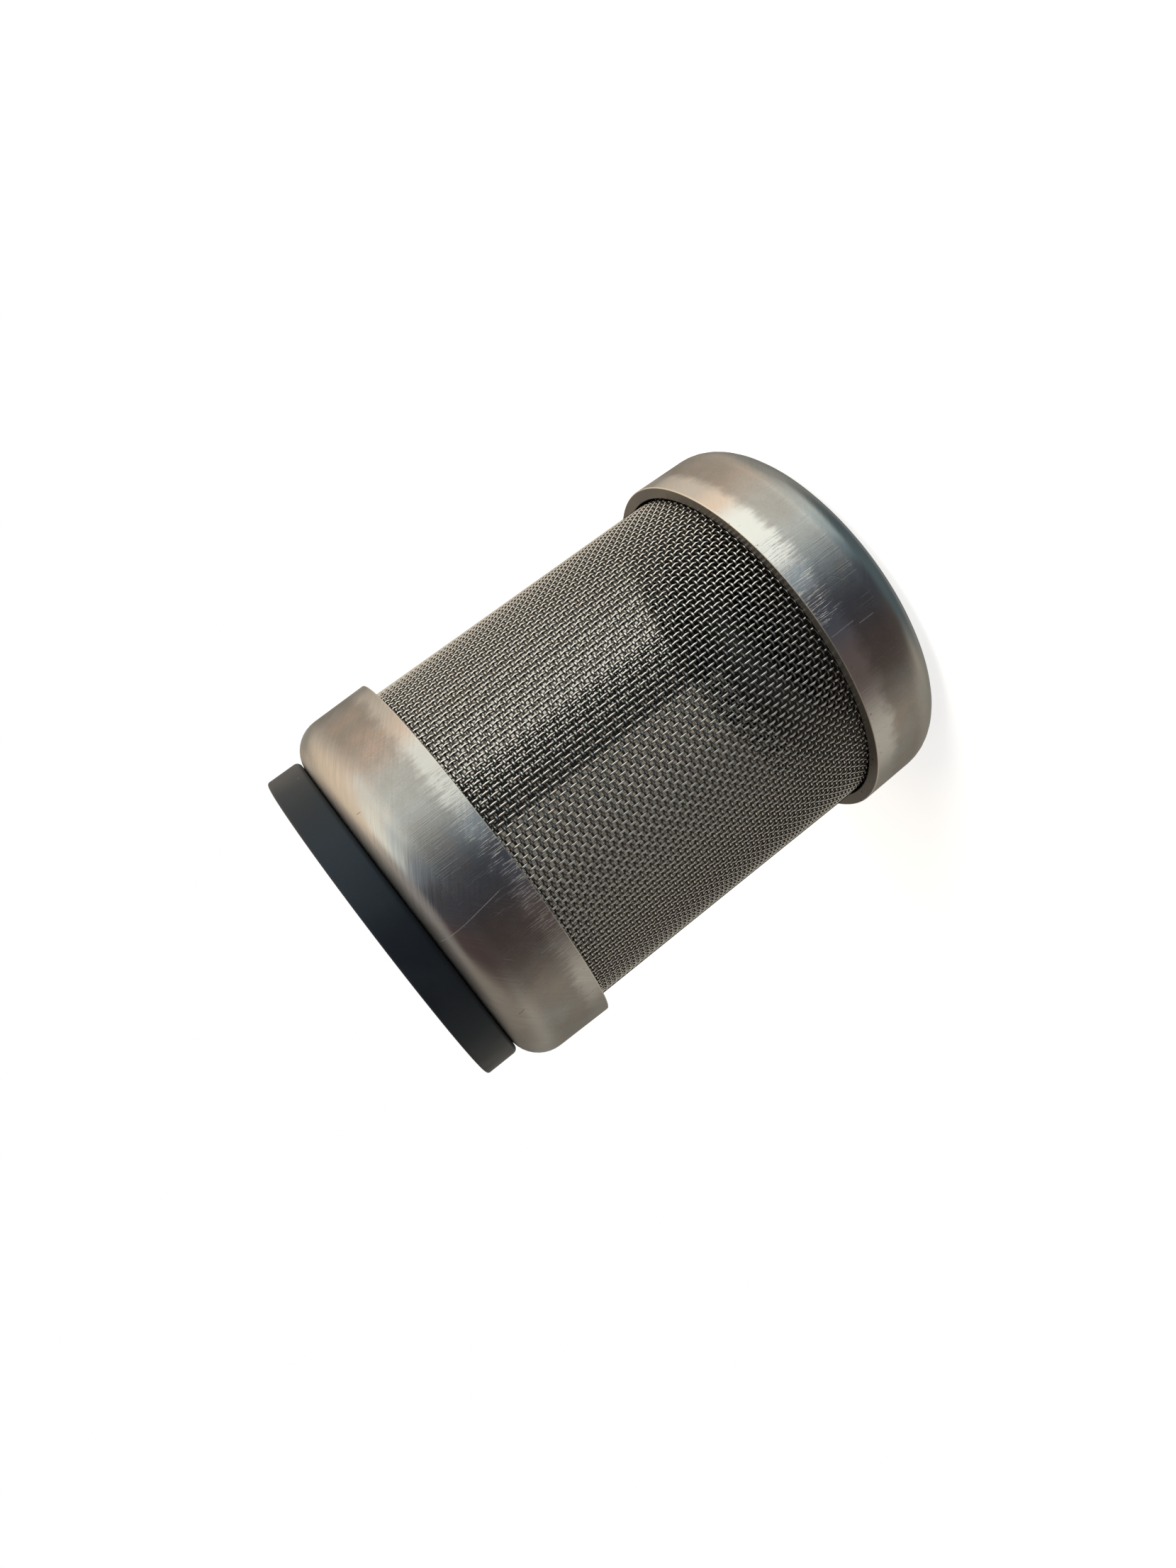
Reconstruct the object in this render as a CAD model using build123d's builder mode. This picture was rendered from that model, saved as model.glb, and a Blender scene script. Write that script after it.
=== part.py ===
"""Hydraulic suction filter element: a tube of woven wire cloth between two pressed end caps.

Units are millimetres and degrees. The axis is +Z. The closed cap stands on z = 0, and the
seal ring is at the top. The side that faces -Y is the front, and the seam is at the back.
"""

import os
from math import cos, radians, sin, tan

from build123d import *

# Driving dimensions of the pressed caps
caps_length = 57.9            # from the closed end face to the open end face
cap_rim_radius = 22.0         # outside, at the rim
cap_depth = 10.2
cap_wall = 1.4                # sheet thickness
cap_corner_radius = 3.9       # outside of the drawn shoulder
cap_draft = 1.2               # the cups widen towards their rims
rim_edge_break = 0.12         # rounding of the trimmed rim

# Driving dimensions of the port in the open cap
port_radius = 12.0
collar_wall = 1.0
collar_height = 3.0           # above the open end face
collar_root_radius = 0.3      # outside, where the collar leaves the end face
port_mouth_radius = 1.6       # inside, where the sheet turns into the collar
collar_lip_radius = 0.25      # both edges of the collar's end

# Driving dimensions of the rubber ring
seal_outer_radius = 19.45
seal_thickness = 4.0
seal_face_edge = 0.3          # rounding round the sealing face
seal_back_edge = 0.6          # rounding next to the cap
seal_bore_chamfer = 0.5

# Driving dimensions of the wire cloth
cloth_clearance = 0.22        # radial gap inside the cap rim
wire_diameter = 0.25
wire_bond = 0.04              # how far crossing strands press into each other
strand_count = 20             # strands along the axis, an even number
strand_width = 2.4
hoop_rows = 5                 # strands round the tube that show between the caps
hoop_width = 2.4
cloth_end_gap = 0.1           # from the end of the drawn corner to the cloth's edge
band_cover = 0.5              # how far the plain ends of the cloth stay below the rims
seam_width = 6.6
seam_angle = 78.0             # round the axis from +X

# Driving dimensions of the adhesive
bead_height = 2.6             # above the cloth's edge
bead_width = 4.28             # inwards from the cloth
bead_lip = 0.4                # height at the inner edge

# Half the window in which an edge or a corner is looked for at a known height
reach = 0.01

# Derived sizes of the caps
draft_slope = tan(radians(cap_draft))
wall_across = cap_wall / cos(radians(cap_draft))
cap_end_radius = cap_rim_radius - cap_depth * draft_slope
inner_rim_radius = cap_rim_radius - wall_across
inner_end_radius = inner_rim_radius - (cap_depth - cap_wall) * draft_slope
inner_corner_radius = cap_corner_radius - cap_wall
collar_outer_radius = port_radius + collar_wall
inner_face_height = caps_length - cap_wall
collar_top = caps_length + collar_height
middle = Plane.XY.offset(caps_length / 2)

# Derived sizes of the cloth
cloth_outer_radius = inner_rim_radius - cloth_clearance
cloth_mid_radius = cloth_outer_radius - wire_diameter
cloth_inner_radius = cloth_mid_radius - wire_diameter
cloth_thickness = cloth_outer_radius - cloth_inner_radius
strand_offset = (wire_diameter - wire_bond) / 2
strand_step = 360 / strand_count
cloth_bottom = cap_wall + inner_corner_radius + cloth_end_gap
cloth_top = caps_length - cloth_bottom
band_height = cap_depth - band_cover - cloth_bottom
open_height = cloth_top - cloth_bottom - 2 * band_height
hoop_pitch = (open_height + hoop_width) / (hoop_rows + 1)
hoop_first = cloth_bottom + band_height - hoop_width / 2 + hoop_pitch

# Derived sizes of the adhesive
bead_inner_radius = cloth_inner_radius - bead_width
bead_top = cloth_bottom + bead_height
bead_lip_top = cap_wall + bead_lip


def strand_turn(strand):
    """Angle of a strand round the axis from +X; the seam lies midway between two strands."""
    return radians(seam_angle + (strand + 0.5) * strand_step)


def strand_plane(strand):
    """Plane through the axis and one strand: local x is the radius, local y the height."""
    turn = strand_turn(strand)
    return Plane(origin=(0, 0, 0), x_dir=(cos(turn), sin(turn), 0), z_dir=(sin(turn), -cos(turn), 0))


def side_of(strand, hoop):
    """+1 where the strand runs outside the hoop, -1 where it runs inside."""
    return 1 if (strand + hoop) % 2 == 0 else -1


def strand_outline(strand):
    """Points (radius, height) round the section of one strand that goes in and out between hoops."""
    path = [(cloth_mid_radius, hoop_first - hoop_pitch)]
    for hoop in range(hoop_rows):
        radius = cloth_mid_radius + strand_offset * side_of(strand, hoop)
        height = hoop_first + hoop * hoop_pitch
        path += [(radius, height - hoop_width / 2), (radius, height + hoop_width / 2)]
    path.append((cloth_mid_radius, hoop_first + hoop_rows * hoop_pitch))
    outside = [(r + wire_diameter / 2, z) for r, z in path]
    inside = [(r - wire_diameter / 2, z) for r, z in path]
    return outside + inside[::-1]


def hoop_outline(hoop, shift):
    """Points (x, y) of a closed hoop with a flat at each strand, moved outwards by shift."""
    points = []
    for strand in range(strand_count):
        turn = strand_turn(strand)
        flat = cloth_mid_radius - strand_offset * side_of(strand, hoop) + shift
        for across in (-strand_width / 2, strand_width / 2):
            points.append((flat * cos(turn) - across * sin(turn), flat * sin(turn) + across * cos(turn)))
    return points


def circles_at(builder, height):
    """Circular edges of a part that lie at one height."""
    circles = builder.edges().filter_by(GeomType.CIRCLE)
    return circles.filter_by_position(Axis.Z, height - reach, height + reach)


# Half section of a pressed cup, open upwards, shared by both caps
with BuildSketch(Plane.XZ) as cup_section:
    with BuildLine():
        Polyline(
            (0, 0),
            (cap_end_radius, 0),
            (cap_rim_radius, cap_depth),
            (inner_rim_radius, cap_depth),
            (inner_end_radius, cap_wall),
            (0, cap_wall),
            close=True,
        )
    make_face()
    outer_corner = cup_section.vertices().group_by(Axis.Y)[0].sort_by(Axis.X)[-1]
    fillet(outer_corner, radius=cap_corner_radius)
    inner_floor = cup_section.vertices().filter_by_position(Axis.Y, cap_wall - reach, cap_wall + reach)
    inner_corner = inner_floor.sort_by(Axis.X)[-1]
    fillet(inner_corner, radius=inner_corner_radius)
    rim_corners = cup_section.vertices().group_by(Axis.Y)[-1]
    fillet(rim_corners, radius=rim_edge_break)

with BuildPart() as closed_end_cap:
    add(cup_section.sketch)
    revolve(axis=Axis.Z)

# The open cap is the same cup upside down, its middle drawn out into a collar
with BuildPart() as open_end_cap:
    add(cup_section.sketch)
    revolve(axis=Axis.Z)
    mirror(about=middle, mode=Mode.REPLACE)
    with BuildSketch(Plane.XY.offset(inner_face_height)):
        Circle(collar_outer_radius)
    extrude(amount=collar_top - inner_face_height)
    with BuildSketch(Plane.XY.offset(collar_top)):
        Circle(port_radius)
    extrude(amount=inner_face_height - collar_top, mode=Mode.SUBTRACT)
    root_edges = circles_at(open_end_cap, caps_length)
    fillet(root_edges.sort_by(SortBy.RADIUS)[0], radius=collar_root_radius)
    mouth_edges = circles_at(open_end_cap, inner_face_height)
    fillet(mouth_edges.sort_by(SortBy.RADIUS)[0], radius=port_mouth_radius)
    fillet(circles_at(open_end_cap, collar_top), radius=collar_lip_radius)

with BuildPart() as seal_ring:
    with BuildSketch(Plane.XZ) as seal_section:
        with BuildLine():
            Polyline(
                (collar_outer_radius, caps_length),
                (seal_outer_radius, caps_length),
                (seal_outer_radius, caps_length + seal_thickness),
                (collar_outer_radius, caps_length + seal_thickness),
                close=True,
            )
        make_face()
        fillet(seal_section.vertices().group_by(Axis.X)[-1].sort_by(Axis.Y)[0], radius=seal_back_edge)
        fillet(seal_section.vertices().group_by(Axis.Y)[-1].sort_by(Axis.X)[-1], radius=seal_face_edge)
        chamfer(seal_section.vertices().group_by(Axis.X)[0], length=seal_bore_chamfer)
    revolve(axis=Axis.Z)

# The woven cloth: strands and hoops pass over and under each other, and fuse where they cross
with BuildPart() as mesh_screen:
    for parity in (0, 1):
        strand_planes = [strand_plane(k) for k in range(parity, strand_count, 2)]
        with BuildSketch(*strand_planes):
            Polygon(*strand_outline(parity), align=None)
        extrude(amount=strand_width / 2, both=True)
        hoop_planes = [Plane.XY.offset(hoop_first + k * hoop_pitch) for k in range(parity, hoop_rows, 2)]
        with BuildSketch(*hoop_planes):
            Polygon(*hoop_outline(parity, wire_diameter / 2), align=None)
            Polygon(*hoop_outline(parity, -wire_diameter / 2), align=None, mode=Mode.SUBTRACT)
        extrude(amount=hoop_width / 2, both=True)
    with BuildSketch(Plane.XY.offset(cloth_bottom), Plane.XY.offset(cloth_top - band_height)):
        Circle(cloth_outer_radius)
        Circle(cloth_inner_radius, mode=Mode.SUBTRACT)
    extrude(amount=band_height)
    # The inner layer of the lap seam
    with BuildSketch(Plane.XY.offset(cloth_bottom)):
        Circle(cloth_mid_radius)
        Circle(cloth_inner_radius - cloth_thickness, mode=Mode.SUBTRACT)
        with PolarLocations(cloth_mid_radius, 1, start_angle=seam_angle):
            Rectangle(cloth_mid_radius, seam_width, mode=Mode.INTERSECT)
    extrude(amount=cloth_top - cloth_bottom)

# Half section of the adhesive bead in the corner of a cap, under and inside the cloth's edge
with BuildSketch(Plane.XZ) as bead_section:
    with BuildLine():
        Polyline(
            (cloth_inner_radius, bead_top),
            (cloth_inner_radius, cloth_bottom),
            (inner_end_radius + (cloth_bottom - cap_wall) * draft_slope, cloth_bottom),
            (inner_end_radius, cap_wall),
            (bead_inner_radius, cap_wall),
            (bead_inner_radius, bead_lip_top),
        )
        RadiusArc(
            (bead_inner_radius, bead_lip_top),
            (cloth_inner_radius, bead_top),
            bead_width + bead_height,
        )
    make_face()
    bead_corner = bead_section.vertices().group_by(Axis.Y)[0].sort_by(Axis.X)[-1]
    fillet(bead_corner, radius=inner_corner_radius)

with BuildPart() as closed_end_potting:
    add(bead_section.sketch)
    revolve(axis=Axis.Z)
    add(mesh_screen.part, mode=Mode.SUBTRACT)

with BuildPart() as open_end_potting:
    add(bead_section.sketch)
    revolve(axis=Axis.Z)
    mirror(about=middle, mode=Mode.REPLACE)
    add(mesh_screen.part, mode=Mode.SUBTRACT)

pieces = {
    "closed_end_cap": closed_end_cap,
    "open_end_cap": open_end_cap,
    "mesh_screen": mesh_screen,
    "seal_ring": seal_ring,
    "closed_end_potting": closed_end_potting,
    "open_end_potting": open_end_potting,
}

os.makedirs("parts", exist_ok=True)
for name, piece in pieces.items():
    piece.part.label = name
    export_step(piece.part, f"parts/{name}.step")
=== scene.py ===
"""Looks of a woven-wire hydraulic filter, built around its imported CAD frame.

Lengths are in metres, and inside the materials in millimetres. The axis is +Z, the closed cap
stands on z = 0, the seal ring is at the top, and the side that faces -Y is the front.
"""

from math import asin, cos, pi, radians, sin, tan
from types import SimpleNamespace

import bpy
import numpy as np
from mathutils import Matrix, Vector


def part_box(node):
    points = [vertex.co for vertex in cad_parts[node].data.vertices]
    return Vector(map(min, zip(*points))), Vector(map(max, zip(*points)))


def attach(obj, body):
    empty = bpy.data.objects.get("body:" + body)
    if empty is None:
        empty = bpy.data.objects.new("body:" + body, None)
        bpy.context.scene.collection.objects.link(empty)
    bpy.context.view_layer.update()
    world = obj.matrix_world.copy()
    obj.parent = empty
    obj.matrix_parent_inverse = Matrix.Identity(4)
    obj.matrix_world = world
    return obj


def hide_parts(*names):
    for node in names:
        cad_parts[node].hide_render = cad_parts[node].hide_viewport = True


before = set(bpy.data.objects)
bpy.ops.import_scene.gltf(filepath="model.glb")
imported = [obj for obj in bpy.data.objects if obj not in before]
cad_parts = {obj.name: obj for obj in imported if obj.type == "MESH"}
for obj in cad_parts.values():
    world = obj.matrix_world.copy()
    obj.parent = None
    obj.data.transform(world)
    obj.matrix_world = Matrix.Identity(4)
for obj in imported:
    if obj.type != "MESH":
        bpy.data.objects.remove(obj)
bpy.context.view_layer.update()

MM = 0.001

# Sizes read from the frame
cap_low, cap_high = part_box("closed_end_cap")
_, collar_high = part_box("open_end_cap")
ring_low, ring_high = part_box("seal_ring")
cloth_low, cloth_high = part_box("mesh_screen")
CAP_DEPTH = cap_high.z - cap_low.z
SEAL_BACK = ring_low.z                     # the open end face, on which the ring sits
SEAL_FACE = ring_high.z
COLLAR_TOP = collar_high.z
CLOTH_BOTTOM = cloth_low.z
CLOTH_TOP = cloth_high.z

# Sizes that the frame's boxes don't give, as in the part
RIM_RADIUS = 22.0 * MM
WALL = 1.4 * MM
CORNER = 3.9 * MM                          # the drawn shoulder, outside
DRAFT_ANGLE = radians(1.2)
RIM_BREAK = 0.12 * MM
PORT_RADIUS = 12.0 * MM
PORT_MOUTH = 1.6 * MM
COLLAR_WALL = 1.0 * MM
COLLAR_ROOT = 0.3 * MM
COLLAR_LIP = COLLAR_WALL / 4
SEAL_RADIUS = 19.45 * MM
SEAL_FACE_EDGE = 0.3 * MM
SEAL_BACK_EDGE = 0.6 * MM
SEAL_BORE_CHAMFER = 0.5 * MM
SEAL_BORE_EDGE = 0.08 * MM                 # the bore's edges are sharp in the part, and soft here

# The cup's half section, before its corners are rounded
DRAFT = tan(DRAFT_ANGLE)
CUP_END = RIM_RADIUS - CAP_DEPTH * DRAFT
INNER_RIM = RIM_RADIUS - WALL / cos(DRAFT_ANGLE)
INNER_END = INNER_RIM - (CAP_DEPTH - WALL) * DRAFT
INNER_CORNER = CORNER - WALL
COLLAR_RADIUS = PORT_RADIUS + COLLAR_WALL
OPEN_RIM = SEAL_BACK - CAP_DEPTH           # height of the open cap's rim
OVAL_LOSS = 0.022                          # mm that a cup is out of round, in two slow waves
WAVY_LOSS = 0.012                          # and in five

# The wire cloth: common 40-mesh, plain woven and rolled up, its inner edge lapped under the outer one
WIRE = 0.25 * MM
CLOTH_OUTER = 20.38 * MM
CLOTH_MID = CLOTH_OUTER - WIRE
CLOTH_INNER = CLOTH_MID - WIRE
CRIMP = WIRE / 2                           # how far a wire swings out and in
WIRES_ROUND = 198                          # along the axis, in one turn
WIRES_IN_LAP = 10                          # and again under the outer edge
HOOPS = 78
SEAM_START = radians(68.0)                 # the cloth's outer edge, round the axis from +X
SEAM_OVERLAP = radians(20.0)
LAP_STEP = radians(5.0)                    # before the lap, where the cloth steps inwards
LAP_DROP = 2.08 * WIRE
LONG_COUNT = WIRES_ROUND + WIRES_IN_LAP
LONG_PITCH = 2 * pi / WIRES_ROUND
HOOP_PITCH = (CLOTH_TOP - CLOTH_BOTTOM) / HOOPS
LONG_SPREAD = 0.035                        # how unevenly the wires lie, of their pitch
HOOP_SPREAD = 0.03
POINTS_PER_PITCH = 2                       # along a wire, from one crossing to the next
WIRE_SIDES = 6
WIRE_BUNDLES = 3

# The adhesive, as in the part: its dome springs from the cloth and from a low inner edge
BEAD_HEIGHT = 2.6 * MM
BEAD_WIDTH = 4.28 * MM
BEAD_LIP = 0.4 * MM
BEAD_DOME = BEAD_WIDTH + BEAD_HEIGHT       # the dome's radius
BEAD_INNER = CLOTH_INNER - BEAD_WIDTH
BEAD_EDGE = 0.05 * MM
BEAD_FOOT_EDGE = 0.02 * MM
BEAD_WAVE = 0.25 * MM                      # how far the inner edge wanders
DOME_ROUNDING = 0.93                       # of the dome's radius, so that its arc leaves room for the edges

SEGMENTS_ROUND = 384
BEAD_SEGMENTS = 96


def rounded_profile(corners, guard=0.06 * MM, turn_step=radians(9.0)):
    """Points of a section: straight runs joined by arcs.

    corners is a list of (radius, height, rounding). At a corner the arc is tangent to both runs:
    its centre is on the bisector, rounding / sin(half the corner's angle) from the corner. Each
    arc gets about one point per turn_step, and one more at guard before and after it.
    """
    count = len(corners)
    points = []
    for i, (x, z, rounding) in enumerate(corners):
        here = np.array([x, z])
        if rounding == 0:
            points.append(here[None])
            continue
        before = np.array(corners[(i - 1) % count][:2])
        after = np.array(corners[(i + 1) % count][:2])
        into = (before - here) / np.linalg.norm(before - here)
        out = (after - here) / np.linalg.norm(after - here)
        half = np.arccos(np.clip(into @ out, -1, 1)) / 2
        reach = rounding / np.tan(half)
        centre = here + (into + out) / np.linalg.norm(into + out) * rounding / np.sin(half)
        start, end = here + into * reach, here + out * reach
        first = np.arctan2(*(start - centre)[::-1])
        sweep = (np.arctan2(*(end - centre)[::-1]) - first + pi) % (2 * pi) - pi
        turns = first + sweep * np.linspace(0, 1, max(3, int(abs(sweep) / turn_step) + 2))
        arc = centre + rounding * np.stack([np.cos(turns), np.sin(turns)], 1)
        points.append(np.vstack([start + into * guard, arc, end + out * guard]))
    return np.vstack(points)


def make_mesh(name, points, loops, starts, smooth=True):
    """A mesh object: points (n, 3), the vertex index of each loop and the first loop of each face."""
    mesh = bpy.data.meshes.new(name)
    mesh.vertices.add(len(points))
    mesh.vertices.foreach_set("co", np.ascontiguousarray(points, np.float32).ravel())
    mesh.loops.add(len(loops))
    mesh.loops.foreach_set("vertex_index", np.ascontiguousarray(loops, np.int32))
    mesh.polygons.add(len(starts))
    mesh.polygons.foreach_set("loop_start", np.ascontiguousarray(starts, np.int32))
    mesh.polygons.foreach_set("use_smooth", np.full(len(starts), smooth))
    mesh.update(calc_edges=True)
    mesh.validate()
    piece = bpy.data.objects.new(name, mesh)
    bpy.context.scene.collection.objects.link(piece)
    return piece


def quads(a, b, c, d):
    """Loops of quads from four equal arrays of vertex indices."""
    return np.stack([a.ravel(), b.ravel(), c.ravel(), d.ravel()], 1)


def turned(name, section, closed=True, change=None, segments=SEGMENTS_ROUND):
    """A solid of revolution: point(turn, k) = (r_k cos turn, r_k sin turn, z_k).

    section holds (r, z) anticlockwise as seen with r to the right and z up, so the faces point
    outwards. With closed False its first and last points lie on the axis and become poles.
    change(r, z, turn) may give new radii and heights.
    """
    turn = np.arange(segments)[:, None] * 2 * pi / segments
    rows = section if closed else section[1:-1]
    r = np.broadcast_to(rows[:, 0], (segments, len(rows)))
    z = np.broadcast_to(rows[:, 1], (segments, len(rows)))
    if change is not None:
        r, z = change(r, z, turn)
    points = np.stack([r * np.cos(turn), r * np.sin(turn), z], 2).reshape(-1, 3)
    width = len(rows)
    index = np.arange(segments * width).reshape(segments, width)
    beside = np.roll(index, -1, 0)
    if closed:
        faces = quads(index, beside, np.roll(beside, -1, 1), np.roll(index, -1, 1))
        return make_mesh(name, points, faces.ravel(), np.arange(len(faces)) * 4)
    faces = quads(index[:, :-1], beside[:, :-1], beside[:, 1:], index[:, 1:])
    low, high = len(points), len(points) + 1
    ends = section[[0, -1], 1]
    points = np.vstack([points, [[0, 0, ends[0]], [0, 0, ends[1]]]])
    fan_low = np.stack([np.full(segments, low), beside[:, 0], index[:, 0]], 1)
    fan_high = np.stack([index[:, -1], beside[:, -1], np.full(segments, high)], 1)
    fans = np.vstack([fan_low, fan_high])
    loops = np.concatenate([faces.ravel(), fans.ravel()])
    starts = np.concatenate([np.arange(len(faces)) * 4, faces.size + np.arange(len(fans)) * 3])
    return make_mesh(name, points, loops, starts)


def uneven(r, z, turn):
    """A pressed and trimmed cup is never quite round.

    Two slow waves, each from 0 to 1 as (1 - cos) / 2, take up to 0.034 mm from the radius. They
    fade inwards with the sixth power of the radius.
    """
    oval = 0.5 - 0.5 * np.cos(2 * turn + 0.7)
    wavy = 0.5 - 0.5 * np.cos(5 * turn + 2.1)
    outside = np.clip(r / RIM_RADIUS, 0, 1) ** 6
    return r - (OVAL_LOSS * oval + WAVY_LOSS * wavy) * MM * outside, z


def closed_cap():
    """The pressed cup, open upwards, its flat end on z = 0, turned round the axis."""
    corners = [
        (0.0, 0.0, 0.0),
        (CUP_END, 0.0, CORNER),
        (RIM_RADIUS, CAP_DEPTH, RIM_BREAK),
        (INNER_RIM, CAP_DEPTH, RIM_BREAK),
        (INNER_END, WALL, INNER_CORNER),
        (0.0, WALL, 0.0),
    ]
    return turned("closed_cap_shell", rounded_profile(corners), closed=False, change=uneven)


def open_cap():
    """The same cup upside down, with the sheet drawn out round the port, turned round the axis."""
    inner_face = SEAL_BACK - WALL
    corners = [
        (PORT_RADIUS, inner_face, PORT_MOUTH),
        (INNER_END, inner_face, INNER_CORNER),
        (INNER_RIM, OPEN_RIM, RIM_BREAK),
        (RIM_RADIUS, OPEN_RIM, RIM_BREAK),
        (CUP_END, SEAL_BACK, CORNER),
        (COLLAR_RADIUS, SEAL_BACK, COLLAR_ROOT),
        (COLLAR_RADIUS, COLLAR_TOP, COLLAR_LIP),
        (PORT_RADIUS, COLLAR_TOP, COLLAR_LIP),
    ]
    return turned("open_cap_shell", rounded_profile(corners), change=uneven)


def seal():
    """The rubber ring: a rectangle with soft outer edges and a chamfered bore, turned round the axis."""
    chamfer = COLLAR_RADIUS + SEAL_BORE_CHAMFER
    corners = [
        (chamfer, SEAL_BACK, SEAL_BORE_EDGE),
        (SEAL_RADIUS, SEAL_BACK, SEAL_BACK_EDGE),
        (SEAL_RADIUS, SEAL_FACE, SEAL_FACE_EDGE),
        (chamfer, SEAL_FACE, SEAL_BORE_EDGE),
        (COLLAR_RADIUS, SEAL_FACE - SEAL_BORE_CHAMFER, SEAL_BORE_EDGE),
        (COLLAR_RADIUS, SEAL_BACK + SEAL_BORE_CHAMFER, SEAL_BORE_EDGE),
    ]
    return turned("seal_ring_rubber", rounded_profile(corners))


def sag(r, z, turn):
    """The bead's inner edge wanders outwards, by up to one wave's height and nothing at the cloth.

    r + wave (cloth - r) / width (1 - cos(3 turn + 1.3 sin(2 turn))) / 2
    """
    inner = np.clip((CLOTH_INNER - r) / BEAD_WIDTH, 0, 1)
    return r + BEAD_WAVE * inner * (0.5 - 0.5 * np.cos(3 * turn + 1.3 * np.sin(2 * turn))), z


def bead(name, top_side):
    """The adhesive ring: a domed wedge in the corner of the cap, on the top side upside down.

    The dome is an arc over the chord from the low inner edge to the cloth. As a rounded corner
    its point stands half chord x tan(half the arc's angle) off the chord's middle.
    """
    foot = np.array([BEAD_INNER, WALL + BEAD_LIP])
    head = np.array([CLOTH_INNER, CLOTH_BOTTOM + BEAD_HEIGHT])
    half_chord = np.linalg.norm(head - foot) / 2
    upwards = np.array([foot[1] - head[1], head[0] - foot[0]]) / (2 * half_chord)
    peak = (foot + head) / 2 + upwards * half_chord * tan(asin(half_chord / BEAD_DOME))
    corners = [
        (BEAD_INNER, WALL, BEAD_EDGE),
        (INNER_END, WALL, INNER_CORNER),
        (INNER_END, CLOTH_BOTTOM, BEAD_FOOT_EDGE),
        (CLOTH_INNER, CLOTH_BOTTOM, BEAD_FOOT_EDGE),
        (*head, BEAD_EDGE),
        (*peak, DOME_ROUNDING * BEAD_DOME),
        (*foot, BEAD_EDGE),
    ]
    piece = turned(name, rounded_profile(corners), change=sag, segments=BEAD_SEGMENTS)
    if top_side:
        co = np.empty(len(piece.data.vertices) * 3, np.float32)
        piece.data.vertices.foreach_get("co", co)
        co = co.reshape(-1, 3)
        co[:, 2] = SEAL_BACK - co[:, 2]
        piece.data.vertices.foreach_set("co", co.ravel())
        piece.data.flip_normals()
    return piece


def wires(name, lines, outward, radius, sides=WIRE_SIDES):
    """Round wires along many lines at once.

    lines is (wires, points, 3) and outward the same shape, a direction across each line. At each
    point the ring is centre + radius (n cos a + b sin a), where b = tangent x outward and
    n = b x tangent. Both ends are closed by one flat face.
    """
    tangent = np.gradient(lines, axis=1)
    tangent /= np.linalg.norm(tangent, axis=2, keepdims=True)
    across = np.cross(tangent, outward)
    across /= np.linalg.norm(across, axis=2, keepdims=True)
    normal = np.cross(across, tangent)
    turn = (np.arange(sides) + 0.5) * 2 * pi / sides
    ring = normal[:, :, None] * np.cos(turn)[:, None] + across[:, :, None] * np.sin(turn)[:, None]
    points = lines[:, :, None] + radius * ring
    count, length = lines.shape[:2]
    index = np.arange(count * length * sides).reshape(count, length, sides)
    here, ahead = index[:, :-1], index[:, 1:]
    faces = quads(here, np.roll(here, -1, 2), np.roll(ahead, -1, 2), ahead)
    lids = np.vstack([index[:, 0, ::-1], index[:, -1]])
    loops = np.concatenate([faces.ravel(), lids.ravel()])
    starts = np.concatenate([np.arange(len(faces)) * 4, faces.size + np.arange(len(lids)) * sides])
    return make_mesh(name, points.reshape(-1, 3), loops, starts)


jitter = np.random.default_rng(7)


def uneven_places(start, pitch, count, spread):
    """Places one pitch apart, from half a pitch past the start, each a little off as in real cloth."""
    return start + (np.arange(count) + 0.5) * pitch + jitter.normal(0, spread, count) * pitch


long_places = uneven_places(0.0, LONG_PITCH, LONG_COUNT, LONG_SPREAD)
hoop_places = uneven_places(CLOTH_BOTTOM, HOOP_PITCH, HOOPS, HOOP_SPREAD)


def cloth_radius(along):
    """Mid radius of the rolled cloth at an angle along it, from its outer edge.

    It is constant, then falls by a little over two wires just before the cloth passes under its
    own outer edge: mid - drop s^2 (3 - 2 s), with s from 0 to 1 over the step.
    """
    s = np.clip((along - (2 * pi - LAP_STEP)) / LAP_STEP, 0, 1)
    return CLOTH_MID - LAP_DROP * s * s * (3 - 2 * s)


def wave(places, spacing, phase, low, high):
    """Places along a wire and its in-and-out wave there.

    The wave is cos(pi (k + phase)), where k counts the crossings passed, so it is +1 and -1 at
    crossings by turns. The line starts and ends half a pitch past the outer crossings.
    """
    count = len(places)
    k = np.arange(count * POINTS_PER_PITCH + 1) / POINTS_PER_PITCH - 0.5
    where = np.interp(k, np.arange(count), places)
    where = np.where(k < 0, places[0] + k * spacing, where)
    where = np.where(k > count - 1, places[-1] + (k - count + 1) * spacing, where)
    return np.clip(where, low, high), np.cos(pi * (k + phase))


def long_wires():
    """Wires along the axis: angle fixed, r = mid + crimp cos(pi (k + i)) at height z."""
    lines, outward = [], []
    for i, along in enumerate(long_places):
        z, swing = wave(hoop_places, HOOP_PITCH, i, CLOTH_BOTTOM, CLOTH_TOP)
        turn = SEAM_START + along
        r = cloth_radius(along) + CRIMP * swing
        lines.append(np.stack([r * cos(turn), r * sin(turn), z], 1))
        outward.append(np.broadcast_to([cos(turn), sin(turn), 0.0], (len(z), 3)))
    return np.array(lines), np.array(outward)


def hoop_wires():
    """Wires round the axis: height fixed, r = mid - crimp cos(pi (k + j)) at angle t."""
    lines, outward = [], []
    for j, height in enumerate(hoop_places):
        along, swing = wave(long_places, LONG_PITCH, j, 0, 2 * pi + SEAM_OVERLAP)
        turn = SEAM_START + along
        r = cloth_radius(along) - CRIMP * swing
        lines.append(np.stack([r * np.cos(turn), r * np.sin(turn), np.full(len(turn), height)], 1))
        outward.append(np.stack([np.cos(turn), np.sin(turn), np.zeros(len(turn))], 1))
    return np.array(lines), np.array(outward)


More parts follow.
